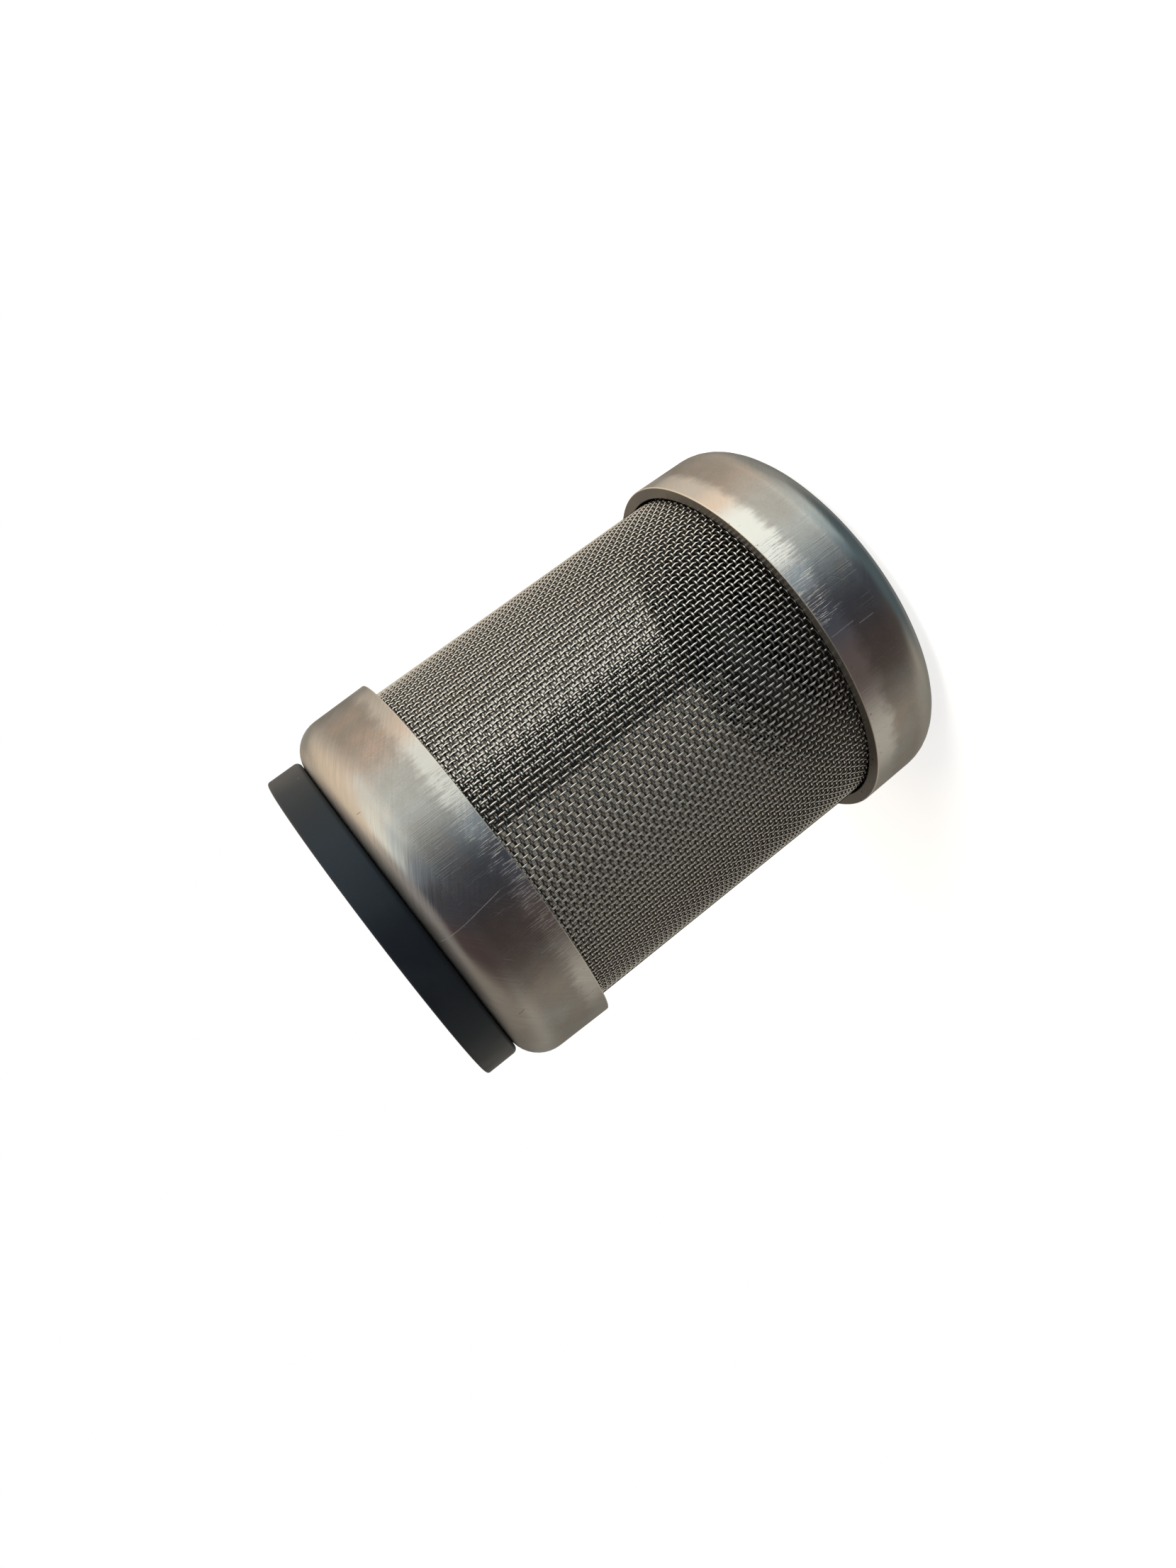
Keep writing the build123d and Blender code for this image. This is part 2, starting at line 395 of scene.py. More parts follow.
class Nodes:
    """Short calls for a node tree. A value is another node's output, a number or a colour (r, g, b)."""

    def __init__(self, tree):
        self.tree = tree

    def add(self, kind, **settings):
        """A new node with some of its settings."""
        node = self.tree.nodes.new(kind)
        for key, value in settings.items():
            setattr(node, key, value)
        return node

    def link(self, value, target):
        """Links an output to an input, or sets the input's own value."""
        if isinstance(value, bpy.types.NodeSocket):
            self.tree.links.new(value, target)
        elif target.type == "RGBA":
            target.default_value = (*value, 1)
        else:
            target.default_value = value

    def feed(self, node, **values):
        """Links or sets a node's inputs by their names, with _ for a space."""
        for key, value in values.items():
            self.link(value, node.inputs[key.replace("_", " ")])
        return node

    def fill(self, inputs, *values):
        """Links or sets inputs in their order."""
        for target, value in zip(inputs, values):
            self.link(value, target)

    def math(self, operation, *values):
        node = self.add("ShaderNodeMath", operation=operation)
        self.fill(node.inputs, *values)
        return node.outputs[0]

    def chain(self, operation, first, *others):
        """One operation after the other: first with the second, their result with the third."""
        for other in others:
            first = self.math(operation, first, other)
        return first

    def plus(self, *values):
        return self.chain("ADD", *values)

    def times(self, *values):
        return self.chain("MULTIPLY", *values)

    def largest(self, *values):
        return self.chain("MAXIMUM", *values)

    def minus(self, a, b):
        return self.math("SUBTRACT", a, b)

    def distance(self, a, b):
        """How far two numbers are apart."""
        return self.math("ABSOLUTE", self.minus(a, b))

    def ramp(self, value, low, high, bottom=0.0, top=1.0):
        """A smooth step from bottom, where the value is low, to top, where it is high."""
        node = self.add("ShaderNodeMapRange", interpolation_type="SMOOTHSTEP")
        self.fill(node.inputs, value, low, high, bottom, top)
        return node.outputs[0]

    def blend(self, factor, a, b):
        """Number a at factor 0 and b at factor 1."""
        node = self.add("ShaderNodeMix", data_type="FLOAT")
        self.fill((node.inputs[0], node.inputs[2], node.inputs[3]), factor, a, b)
        return node.outputs[0]

    def mix(self, factor, a, b):
        """Colour a at factor 0 and b at factor 1."""
        node = self.add("ShaderNodeMix", data_type="RGBA")
        self.fill((node.inputs[0], node.inputs[6], node.inputs[7]), factor, a, b)
        return node.outputs[2]

    def painted(self, tint, *layers):
        """A colour with layers over it, each given by its mask and its own colour."""
        for mask, colour in layers:
            tint = self.mix(mask, tint, colour)
        return tint

    def noise(self, where, scale, detail=2.0, rough=0.5):
        node = self.add("ShaderNodeTexNoise")
        self.feed(node, Vector=where, Scale=scale, Detail=detail, Roughness=rough)
        return node.outputs[0]

    def mottle(self, where, scale, low, high, bottom=0.0, top=1.0, **kind):
        """Patches: noise, stepped smoothly from bottom to top between two of its levels."""
        return self.ramp(self.noise(where, scale, **kind), low, high, bottom, top)

    def vector(self, x, y, z):
        node = self.add("ShaderNodeCombineXYZ")
        self.fill(node.inputs, x, y, z)
        return node.outputs[0]

    def split(self, vector):
        node = self.add("ShaderNodeSeparateXYZ")
        self.link(vector, node.inputs[0])
        return node.outputs

    def coordinates(self, kind):
        return self.add("ShaderNodeTexCoord").outputs[kind]

    def bump(self, height, strength, depth):
        node = self.add("ShaderNodeBump")
        self.feed(node, Height=height, Strength=strength, Distance=depth)
        return node.outputs[0]

    def group(self, tree, **values):
        """A node group with some of its inputs: returns its outputs."""
        return self.feed(self.add("ShaderNodeGroup", node_tree=tree), **values).outputs


def new_group(name, inputs, outputs):
    """An empty node group: inputs is {name: number, or None for a vector}, outputs a list of names."""
    tree = bpy.data.node_groups.new(name, "ShaderNodeTree")
    for key, value in inputs.items():
        kind = "NodeSocketVector" if value is None else "NodeSocketFloat"
        socket = tree.interface.new_socket(key, in_out="INPUT", socket_type=kind)
        if value is not None:
            socket.default_value = value
    for key in outputs:
        tree.interface.new_socket(key, in_out="OUTPUT", socket_type="NodeSocketFloat")
    n = Nodes(tree)
    return n, n.add("NodeGroupInput").outputs, n.add("NodeGroupOutput")


def unrolled_group():
    """Unrolls the side: Along is the arc in mm from the front at the rims' radius, the rest is in mm."""
    n, given, result = new_group("unrolled", {"Position": None}, ["Along", "Height", "Radius"])
    x, y, z = n.split(given["Position"])
    turn = n.math("ARCTAN2", x, n.times(y, -1.0))
    radius = n.math("SQRT", n.plus(n.times(x, x), n.times(y, y)))
    n.feed(
        result,
        Along=n.times(turn, RIM_RADIUS / MM),
        Height=n.times(z, 1 / MM),
        Radius=n.times(radius, 1 / MM))
    return n.tree


def facing_group():
    """How far a surface faces away from the filter's axis: +1 outwards, -1 inwards, 0 sideways."""
    n, given, result = new_group("facing", {"Position": None, "Normal": None}, ["Facing"])
    flat = n.add("ShaderNodeVectorMath", operation="MULTIPLY")
    n.fill(flat.inputs, given["Position"], (1.0, 1.0, 0.0))
    away = n.add("ShaderNodeVectorMath", operation="NORMALIZE")
    n.fill(away.inputs, flat.outputs[0])
    dot = n.add("ShaderNodeVectorMath", operation="DOT_PRODUCT")
    n.fill(dot.inputs, away.outputs[0], given["Normal"])
    n.feed(result, Facing=dot.outputs["Value"])
    return n.tree


def turned_axes(n, along, height, tilt):
    """Distances along and across a direction that is tilted from the one round the filter."""
    c, s = n.math("COSINE", tilt), n.math("SINE", tilt)
    u = n.plus(n.times(along, c), n.times(height, s))
    v = n.minus(n.times(height, c), n.times(along, s))
    return u, v


def hairlines_group():
    """Fine straight scratches in one direction: noise stretched along them.

    Grain is that noise itself, an even brushing. Mask is 1 only on its crests, as single lines.
    """
    inputs = {
        "Along": 0.0, "Height": 0.0, "Tilt": 0.0,
        "Fineness": 6.0, "Length": 6.0, "Amount": 0.1, "Seed": 0.0}
    n, given, result = new_group("hairlines", inputs, ["Mask", "Grain"])
    u, v = turned_axes(n, given["Along"], given["Height"], given["Tilt"])
    where = n.vector(n.math("DIVIDE", u, given["Length"]), n.times(v, given["Fineness"]), given["Seed"])
    value = n.noise(where, 1.0, detail=3.0, rough=0.65)
    edge = n.minus(0.78, given["Amount"])
    n.feed(result, Mask=n.ramp(value, edge, n.plus(edge, 0.06)), Grain=n.ramp(value, 0.28, 0.72))
    return n.tree


def mark_group():
    """One straight mark: 1 within Half width of a segment at Place along, Place height, turned by Tilt."""
    inputs = {
        "Along": 0.0, "Height": 0.0, "Place along": 0.0, "Place height": 0.0, "Tilt": 0.0,
        "Half length": 1.0, "Half width": 0.05}
    n, given, result = new_group("single_mark", inputs, ["Mask"])
    along = n.minus(given["Along"], given["Place along"])
    height = n.minus(given["Height"], given["Place height"])
    u, v = turned_axes(n, along, height, given["Tilt"])
    past = n.largest(n.minus(n.math("ABSOLUTE", u), given["Half length"]), 0.0)
    far = n.math("SQRT", n.plus(n.times(v, v), n.times(past, past)))
    n.feed(result, Mask=n.ramp(far, given["Half width"], n.times(given["Half width"], 0.3)))
    return n.tree


UNROLLED = unrolled_group()
FACING = facing_group()
HAIRLINES = hairlines_group()
MARK = mark_group()


def new_material(name):
    material = bpy.data.materials.new(name)
    material.use_nodes = True
    tree = material.node_tree
    return material, Nodes(tree), tree.nodes["Principled BSDF"]


# Where the finishes change, in mm
CORNER_START = (CAP_DEPTH - CORNER) / MM   # below the rim, where the drawn shoulder begins
CORNER_AXIS = (CUP_END - CORNER) / MM      # radius of the middle of the shoulder's arc
RIM_FACE_END = 21.86                       # radius where the rim's face turns into its edge
RIM_EDGE_START = 21.93
BAND_RAGGED = 0.45                         # how far the ironed band's edge wanders
BAND_TEETH = 3.6                           # teeth in that edge, per mm round the cap
WIRE_CREST = CLOTH_OUTER / MM
LAP_RADIUS = WIRE_CREST - LAP_DROP / MM    # crests of the cloth's inner layer in the lap

# The lap, as the arc in mm from the front at the rims' radius
LAP_START = (SEAM_START + pi / 2) * RIM_RADIUS / MM
LAP_END = (SEAM_START + SEAM_OVERLAP + pi / 2) * RIM_RADIUS / MM + 0.3

# Steel: shades of the satin wall as shares of its level, then plain colours
SATIN_DULL = (1.05, 0.985, 0.94)
SATIN_CLEAN = (0.975, 0.99, 0.995)
SATIN_WARM = (1.08, 0.94, 0.86)
FINE_PITS = (0.10, 0.097, 0.09)
POLISHED = (0.75, 0.745, 0.735)
BRUSHED_DARK = (0.12, 0.115, 0.105)
SCRATCH_LIGHT = (0.85, 0.83, 0.80)
DRAW_LINE = (0.86, 0.88, 0.92)
MARK_LIGHT = (0.92, 0.90, 0.87)
MARK_DARK = (0.10, 0.09, 0.085)
RIM_DULL = (0.40, 0.375, 0.345)
# A painted highlight: the glint of the rim's edge break
RIM_EDGE_HIGHLIGHT = (0.80, 0.77, 0.72)
# Painted shade inside the cups
INSIDE_SHADE = (0.042, 0.042, 0.040)
BROWN_FLECK = (0.09, 0.055, 0.035)
STEEL_MIRROR = (0.6, 0.6, 0.6)
STEEL_RELIEF = 0.011 * MM                  # depth of the draw lines

# Wire, rubber and adhesive, each from darker to lighter
# The wire's flank colour is painted shade and its crest colours a painted highlight
WIRE_FLANK_SHADE = (0.12, 0.119, 0.113)
WIRE_CREST_HIGHLIGHT = [(0.91, 0.91, 0.895), (0.98, 0.98, 0.965)]
WIRE_CLEAN = [(0.72, 0.70, 0.65), (0.78, 0.77, 0.725)]
# Painted shade in the lap of the seam
WIRE_LAP_SHADE = (0.10, 0.093, 0.08)
RUBBER = [(0.013, 0.0165, 0.022), (0.018, 0.0225, 0.029)]
RUBBER_DUST = (0.28, 0.26, 0.23)
RUBBER_SHEEN = (0.60, 0.80, 1.0)
RUBBER_RELIEF = 0.03 * MM
ADHESIVE = [(0.016, 0.0155, 0.0145), (0.027, 0.026, 0.024)]

# Light scratches on both caps: tilt in degrees, lines per mm, length in mm, share covered
SCRATCH_SETS = [(-32, 4.5, 3.5, 0.10), (41, 5.0, 2.2, 0.09), (8, 5.0, 1.6, 0.07), (-71, 6.0, 2.4, 0.08)]

# How each cap is finished, as pressed_steel explains. A single mark has the arc and the height of
# its middle in mm, its tilt in degrees, and its half length and half width in mm.
CLOSED_CAP_FINISH = dict(
    rim_height=CAP_DEPTH / MM,
    rim_side=1.0,
    satin_level=0.43,
    band=2.6,
    band_polish=0.88,
    brushed=0.4,
    line_stretch=(2.5, 4.0),
    light_marks=[
        (-4.1, 8.5, 90, 1.45, 0.05),
        (-4.7, 5.7, 89, 0.9, 0.045),
    ],
    dark_marks=[
        (0.2, 5.7, 40, 0.6, 0.08),
    ],
)
OPEN_CAP_FINISH = dict(
    rim_height=OPEN_RIM / MM,
    rim_side=-1.0,
    satin_level=0.40,
    band=1.9,
    band_polish=0.62,
    brushed=1.0,
    line_stretch=(-3.0, 11.0),
    light_marks=[
        (-4.4, 53.9, -82, 3.5, 0.05),
        (-5.2, 49.4, 90, 0.60, 0.06),
        (-8.7, 49.4, 88, 0.70, 0.05),
        (-11.6, 49.9, 92, 0.80, 0.04),
        (9.2, 55.6, -35, 0.8, 0.04),
    ],
    dark_marks=[
        (-16.3, 55.4, -60, 0.35, 0.07),
        (-20.7, 49.4, 86, 0.95, 0.04),
        (10.4, 56.3, 62, 0.2, 0.06),
    ],
)


def scaled(level, colour):
    """A colour times a level."""
    return tuple(level * part for part in colour)


def facing_out(n, place):
    """+1 where the surface faces away from the filter's axis, -1 where it faces inwards."""
    return n.group(FACING, Position=place, Normal=n.coordinates("Normal"))["Facing"]


def cap_surface(n, rim_height, rim_side):
    """Where a point of a cap lies, in mm, and how it faces.

    u and v run with the cap's section: u round the axis, and v down the wall and on round the
    drawn shoulder by its angle. On the flat end face they are x and y. facing is +1 on the outer
    wall and -1 on the inner one, and to_rim is +1 on a face that looks to the rim's side.
    """
    place = n.coordinates("Object")
    unrolled = n.group(UNROLLED, Position=place)
    along, height, radius = unrolled["Along"], unrolled["Height"], unrolled["Radius"]
    below_rim = n.times(n.minus(rim_height, height), rim_side)
    past = n.largest(n.minus(below_rim, CORNER_START), 0.0)
    bend = n.math("ARCTAN2", past, n.minus(radius, CORNER_AXIS))
    run = n.plus(n.math("MINIMUM", below_rim, CORNER_START), n.times(bend, CORNER / MM))
    section = n.minus(rim_height, n.times(run, rim_side))
    flat_end = n.ramp(radius, CORNER_AXIS + 0.05, CORNER_AXIS - 0.15)
    x, y, _ = n.split(place)
    _, _, normal_up = n.split(n.coordinates("Normal"))
    return SimpleNamespace(
        place=place,
        along=along,
        height=height,
        radius=radius,
        below_rim=below_rim,
        u=n.blend(flat_end, along, n.times(x, 1 / MM)),
        v=n.blend(flat_end, section, n.times(y, 1 / MM)),
        facing=facing_out(n, place),
        to_rim=n.times(normal_up, rim_side),
    )


def hairlines(n, at, tilt, fineness, length, seed, amount=0.1):
    """Hairlines on a cap: tilt in degrees, lines per mm, length in mm, and the share covered."""
    return n.group(
        HAIRLINES, Along=at.u, Height=at.v, Tilt=radians(tilt), Fineness=fineness, Length=length,
        Amount=amount, Seed=seed)


def ironed_band(n, at, width, polish, line_stretch):
    """Masks of the band by the rim that the draw ring ironed: its polish and its deep draw lines.

    Its lower edge is ragged, and toothed by the lines where they end. It is polished most in the
    front, and elsewhere in patches. The lines stay in their stretch.
    """
    middle, reach = line_stretch
    off_stretch = n.distance(at.along, middle)
    near_lines = n.ramp(off_stretch, reach + 6.0, reach)
    in_lines = n.ramp(off_stretch, reach + 2.0, reach)
    ragged = n.mottle(
        at.place, 520.0, 0.25, 0.75, -BAND_RAGGED, BAND_RAGGED, detail=5.0, rough=0.6)
    across_lines = n.vector(n.times(at.u, BAND_TEETH), 0.3, 9.0)
    teeth = n.mottle(across_lines, 1.0, 0.32, 0.68, -BAND_RAGGED, BAND_RAGGED, rough=0.7)
    edge = n.plus(at.below_rim, ragged, n.times(teeth, n.blend(near_lines, 0.15, 1.0)))
    front = n.ramp(n.distance(at.along, -3.0), 23.0, 15.0)
    strong = n.largest(front, n.mottle(at.place, 48.0, 0.4, 0.65, detail=1.0))
    strength = n.ramp(strong, 0.0, 1.0, 0.25 * polish, polish)
    ironed = n.times(n.ramp(edge, width + 0.8, width - 0.9), strength)
    lined = n.times(n.ramp(edge, width + 0.9, width - 0.9), n.blend(in_lines, 0.05, polish))
    return ironed, lined


def draw_lines(n, at, ironed, lined):
    """Lines along the axis from the drawing: a fine grain on the wall, and deep ones in the band."""
    fine = hairlines(n, at, 90, 6.0, 6.0, seed=1.0, amount=0.16)
    fine = n.plus(n.times(fine["Grain"], 0.55), n.times(fine["Mask"], 0.35))
    wall = n.ramp(at.below_rim, CORNER_START + 0.5, CORNER_START)
    patches = n.blend(n.mottle(at.place, 130.0, 0.35, 0.62, detail=1.0), 0.25, 0.9)
    fine = n.times(fine, wall, patches, n.ramp(ironed, 0.0, 1.0, 1.0, 0.45))
    deep = hairlines(n, at, 90, 6.5, 4.5, seed=5.0, amount=0.23)
    return fine, n.times(deep["Mask"], lined)


def diagonal_brushing(n, at):
    """Brushing that turns its direction near the front and fades in patches."""
    turning = n.mottle(at.place, 90.0, 0.3, 0.7, -5.0, 5.0)
    left = n.ramp(n.plus(at.along, turning), 1.0, -5.0)
    falling = hairlines(n, at, -34, 4.0, 5.5, seed=11.0)
    rising = hairlines(n, at, 43, 4.5, 4.5, seed=23.0)
    patches = n.mottle(at.place, 150.0, 0.38, 0.62, 0.15, 1.0)
    return n.times(n.blend(left, falling["Grain"], rising["Grain"]), patches)


def light_scratches(n, at):
    """1 on any line of the sets of light scratches."""
    mask = 0.0
    for i, (tilt, fineness, length, amount) in enumerate(SCRATCH_SETS):
        one_set = hairlines(n, at, tilt, fineness, length, seed=3.7 * i + 2, amount=amount)
        mask = n.largest(mask, one_set["Mask"])
    return mask


def marks_mask(n, at, marks):
    """1 on any of the single marks."""
    mask = 0.0
    for along, height, tilt, half_length, half_width in marks:
        one = n.group(
            MARK, Along=at.along, Height=at.height, Place_along=along, Place_height=height,
            Tilt=radians(tilt), Half_length=half_length, Half_width=half_width)
        mask = n.largest(mask, one["Mask"])
    return mask


def pressed_steel(
        name, rim_height, rim_side, satin_level, band, band_polish, brushed, line_stretch,
        light_marks, dark_marks):
    """Satin stainless sheet, burnished in a band by the rim where the draw ring ironed it.

    rim_height is the rim's height in mm, rim_side is +1 where the cup opens upwards, satin_level
    is how much light the unpolished wall gives back, of 1, band is the ironed band's width in mm,
    band_polish is how bright it is, and brushed is how strong the brushing is. Draw lines run
    along the axis: a fine grain on the wall, and short deep lines in a stretch of the band,
    line_stretch, given by its middle from the front and its half length in mm. The drawn
    shoulder is stretched smooth, and the trimmed rim is dull with brown specks by it. Its outer
    edge is painted bright, a painted highlight for the glint of the edge break, and the inside
    is painted dark, as painted shade in the cup.
    """
    material, n, shader = new_material(name)
    at = cap_surface(n, rim_height, rim_side)
    ironed, lined = ironed_band(n, at, band, band_polish, line_stretch)
    fine, deep = draw_lines(n, at, ironed, lined)
    brushing = diagonal_brushing(n, at)
    scratches = light_scratches(n, at)
    light = marks_mask(n, at, light_marks)
    dark = marks_mask(n, at, dark_marks)
    marks = n.largest(light, dark)
    shoulder = n.ramp(at.below_rim, CORNER_START - 0.8, CORNER_START + 1.9)
    polished = n.largest(ironed, n.times(shoulder, 0.72))

    rim = n.ramp(at.below_rim, 0.16, 0.08)
    rim_face = n.times(rim, n.ramp(at.radius, RIM_EDGE_START, RIM_FACE_END))
    # Painted highlight: the rim's outer edge is painted bright for the glint of its edge break
    painted_rim_highlight = n.times(rim, n.ramp(at.radius, RIM_FACE_END, RIM_EDGE_START))
    inner_floor = n.times(n.ramp(at.to_rim, 0.3, 0.7), n.ramp(at.below_rim, 1.0, 2.0))
    # Painted shade: the cup's inner wall and floor are painted dark
    inside = n.largest(n.ramp(at.facing, -0.1, -0.5), inner_floor)
    flecks = n.times(n.mottle(at.place, 2600.0, 0.68, 0.73), n.ramp(at.below_rim, 0.9, 0.2))

    clouds = n.mottle(at.place, 170.0, 0.3, 0.72, detail=5.0, rough=0.65)
    warm = n.mottle(at.place, 210.0, 0.5, 0.72, detail=3.0, rough=0.6)
    pits = n.mottle(at.place, 5200.0, 0.3, 0.7, 0.12, 0.0, detail=3.0, rough=0.65)
    dull, clean = satin_level * 0.90, satin_level * 1.13
    tint = n.painted(
        n.mix(clouds, scaled(dull, SATIN_DULL), scaled(clean, SATIN_CLEAN)),
        (n.times(warm, 0.75), scaled(clean, SATIN_WARM)),
        (pits, FINE_PITS),
        (polished, POLISHED),
        (n.ramp(brushing, 0.0, 1.0, 0.16 * brushed, 0.0), BRUSHED_DARK),
        (n.times(scratches, 0.26 * brushed), SCRATCH_LIGHT),
        (n.times(deep, 0.15), DRAW_LINE),
        (n.times(light, 0.5), MARK_LIGHT),
        (n.times(dark, 0.42), MARK_DARK),
        (rim_face, RIM_DULL),
        (painted_rim_highlight, RIM_EDGE_HIGHLIGHT),
        (inside, INSIDE_SHADE),
        (n.times(flecks, 0.7), BROWN_FLECK),
    )
    roughness = n.plus(
        n.ramp(polished, 0.0, 1.0, 0.28, 0.12),
        n.times(brushing, 0.05),
        n.times(scratches, 0.08),
        n.times(marks, 0.3),
        n.times(n.largest(rim, inside), 0.2),
        n.ramp(at.below_rim, CORNER_START + 2.3, CORNER_START + 3.3, 0.0, 0.3),
    )
    relief = n.plus(
        fine,
        n.times(deep, 1.1),
        n.times(scratches, -0.3 * brushed),
        n.times(brushing, 0.35 * brushed),
        n.times(marks, -0.6),
    )
    n.feed(
        shader, Base_Color=tint, Metallic=1.0, Specular_Tint=STEEL_MIRROR, Roughness=roughness,
        Normal=n.bump(relief, 1.0, STEEL_RELIEF))
    return material


def lap_stripe(n, along, end_of_rise, last_fall):
    """1 at the far side of the cloth's lap: it grows over the lap and falls off at its end."""
    rise = n.ramp(along, LAP_START - 0.5, LAP_END - end_of_rise)
    return n.times(rise, n.ramp(along, LAP_END, LAP_END - last_fall))


def woven_wire(name, dark_radius, bright_radius, gloss):
    """Stainless wire, painted bright on the crests that stand out and dark down its flanks.

    The bright crests are a painted highlight and the dark flanks painted shade. Outwards it is
    dark up to one radius from the filter's axis and bright from the other, both in mm, and gloss
    is the roughness of that bright part. Inwards it is plain and clean, except in the lap of the
    seam, which is painted dark as the shadow under the lap and at the step into it.
    """
    material, n, shader = new_material(name)
    place = n.coordinates("Object")
    unrolled = n.group(UNROLLED, Position=place)
    facing = facing_out(n, place)
    film = n.mottle(place, 70.0, 0.35, 0.7)
    # Painted highlight on the outer crests, painted shade on the flanks between them
    highlit_crest = n.times(n.ramp(unrolled["Radius"], dark_radius, bright_radius), n.ramp(facing, 0.55, 0.86))
    inner = n.ramp(facing, -0.1, -0.5)
    # Painted shadow on the inner faces under the lap, and painted shade at the step where the cloth goes
    # under it
    lap = n.times(lap_stripe(n, unrolled["Along"], 0.3, 0.3), n.ramp(facing, 0.1, -0.3))
    lap = n.largest(lap, n.ramp(unrolled["Radius"], LAP_RADIUS + 0.02, LAP_RADIUS - 0.06))
    tint = n.painted(
        WIRE_FLANK_SHADE,
        (highlit_crest, n.mix(film, *WIRE_CREST_HIGHLIGHT)),
        (inner, n.mix(film, *WIRE_CLEAN)),
        (lap, WIRE_LAP_SHADE),
    )
    roughness = n.largest(n.ramp(highlit_crest, 0.0, 1.0, 0.45, gloss), n.times(inner, 0.8))
    n.feed(shader, Base_Color=tint, Metallic=1.0, Roughness=roughness)
    return material


def moulded_rubber():
    """Black rubber: matt, with a fine moulded grain and a few specks of dust."""
    material, n, shader = new_material("moulded_rubber")
    place = n.coordinates("Object")
    cloud = n.noise(place, 160.0, detail=3.0)
    cells = n.feed(n.add("ShaderNodeTexVoronoi", feature="F1"), Vector=place, Scale=420.0)
    speck = n.ramp(cells.outputs["Distance"], 0.07, 0.03)
    dust = n.times(speck, n.mottle(place, 700.0, 0.53, 0.57), 0.7)
    tint = n.mix(dust, n.mix(n.ramp(cloud, 0.35, 0.7), *RUBBER), RUBBER_DUST)
    n.feed(
        shader, Base_Color=tint, Roughness=n.ramp(cloud, 0.35, 0.7, 0.42, 0.55),
        Specular_Tint=RUBBER_SHEEN, Specular_IOR_Level=0.36,
        Normal=n.bump(n.noise(place, 5200.0), 0.3, RUBBER_RELIEF))
    return material


def cast_adhesive():
    """Dark grey potting adhesive, a little glossy and clouded."""
    material, n, shader = new_material("cast_adhesive")
    cloud = n.noise(n.coordinates("Object"), 220.0, detail=3.0)
    n.feed(
        shader, Base_Color=n.mix(n.ramp(cloud, 0.35, 0.7), *ADHESIVE),
        Roughness=n.ramp(cloud, 0.3, 0.7, 0.25, 0.4), Specular_IOR_Level=0.3)
    return material


def dress(piece, material, slot, *nodes):
    """Gives a piece its material and its place in the frame."""
    piece.data.materials.append(material)
    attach(piece, "root")
    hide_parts(*nodes)


def dress_wires(kind, strands, material):
    """All wires of one direction, in a few pieces of about equal size."""
    lines, outward = strands
    for part in range(WIRE_BUNDLES):
        cut = slice(part * len(lines) // WIRE_BUNDLES, (part + 1) * len(lines) // WIRE_BUNDLES)
        piece = wires(f"{kind}_{part + 1}", lines[cut], outward[cut], WIRE / 2)
        dress(piece, material, "wire_cloth", "mesh_screen")


lower_steel = pressed_steel("pressed_steel_closed_end", **CLOSED_CAP_FINISH)
upper_steel = pressed_steel("pressed_steel_open_end", **OPEN_CAP_FINISH)
adhesive = cast_adhesive()
long_steel = woven_wire("long_wire_steel", WIRE_CREST - 0.20, WIRE_CREST - 0.12, 0.14)
hoop_steel = woven_wire("hoop_wire_steel", WIRE_CREST - 0.10, WIRE_CREST - 0.045, 0.22)
dress(closed_cap(), lower_steel, "cap_steel", "closed_end_cap")
dress(open_cap(), upper_steel, "cap_steel", "open_end_cap")
dress(seal(), moulded_rubber(), "seal_rubber", "seal_ring")
dress(bead("adhesive_bead_closed_end", False), adhesive, "potting", "closed_end_potting")
dress(bead("adhesive_bead_open_end", True), adhesive, "potting", "open_end_potting")
dress_wires("long_wires", long_wires(), long_steel)
dress_wires("hoop_wires", hoop_wires(), hoop_steel)

# The floor, and the painted shade of the ground behind the cloth
FLOOR_HALF = 1.5
FLOOR_TINT = (0.86, 0.86, 0.85)
FLOOR_GLOW = 0.72
VEIL_RADIUS = CLOTH_OUTER + 0.06 * MM
VEIL_GAP = 0.02 * MM                       # to both rims
VEIL_SEGMENTS = 256
# Painted shade for the ground seen through the cloth: lit, a brown half shade, shaded, and a painted shadow
# behind the lap
VEIL_LIT = (0.43, 0.428, 0.388)
VEIL_BROWN = (0.17, 0.153, 0.125)
VEIL_LAP_SHADOW = (0.066, 0.06, 0.05)
VEIL_SHADED = (0.06, 0.057, 0.05)


def studio_floor():
    """A plain pale floor: it shows white to the camera and keeps a soft shadow."""
    corners = np.array([[-1, -1, 0], [1, -1, 0], [1, 1, 0], [-1, 1, 0]]) * FLOOR_HALF
    floor = make_mesh("studio_floor", corners, np.arange(4), np.array([0]), smooth=False)
    material, n, shader = new_material("pale_floor")
    n.feed(shader, Base_Color=FLOOR_TINT, Roughness=0.9)
    seen = n.add("ShaderNodeLightPath").outputs["Is Camera Ray"]
    glow = n.add("ShaderNodeEmission")
    n.feed(glow, Color=(1, 1, 1), Strength=n.times(seen, FLOOR_GLOW))
    both = n.add("ShaderNodeAddShader")
    n.fill(both.inputs, shader.outputs[0], glow.outputs[0])
    n.feed(n.tree.nodes["Material Output"], Surface=both.outputs[0])
    floor.data.materials.append(material)
    floor.visible_glossy = False


